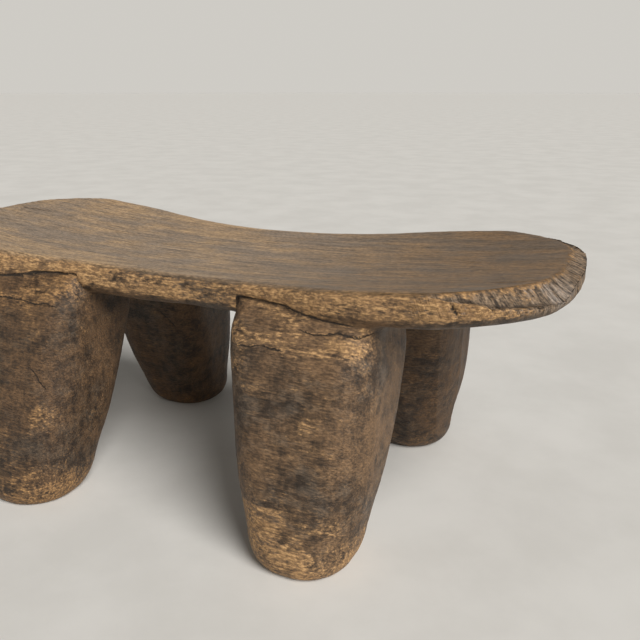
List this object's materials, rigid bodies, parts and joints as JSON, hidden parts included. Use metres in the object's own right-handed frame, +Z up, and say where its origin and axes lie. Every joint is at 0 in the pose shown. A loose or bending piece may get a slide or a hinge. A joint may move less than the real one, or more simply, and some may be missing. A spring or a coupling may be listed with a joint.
{
  "type": "carved wooden headrest",
  "caption": "Low carved headrest in the form of a small stool: long waisted seat dished in both directions, on stout barrel-shaped splayed legs.",
  "frame": {"origin": "on the floor, under the middle of the seat", "axes": "+X along the seat and the grain of the wood, +Y across it towards the back, +Z up"},
  "size_m": [0.54, 0.2845, 0.2008],
  "materials": {
    "seat_wood": "hand-worn, grey-brown, soft sheen on the dished top, worn to lighter wood along the rim",
    "leg_wood": "dark brown patina, worn to ochre wood at the shoulders and round the feet"
  },
  "bodies": {
    "root": {"seat": "seat_wood", "leg_front_right": "leg_wood", "leg_front_left": "leg_wood", "leg_back_left": "leg_wood", "leg_back_right": "leg_wood"}
  },
  "joints": []
}
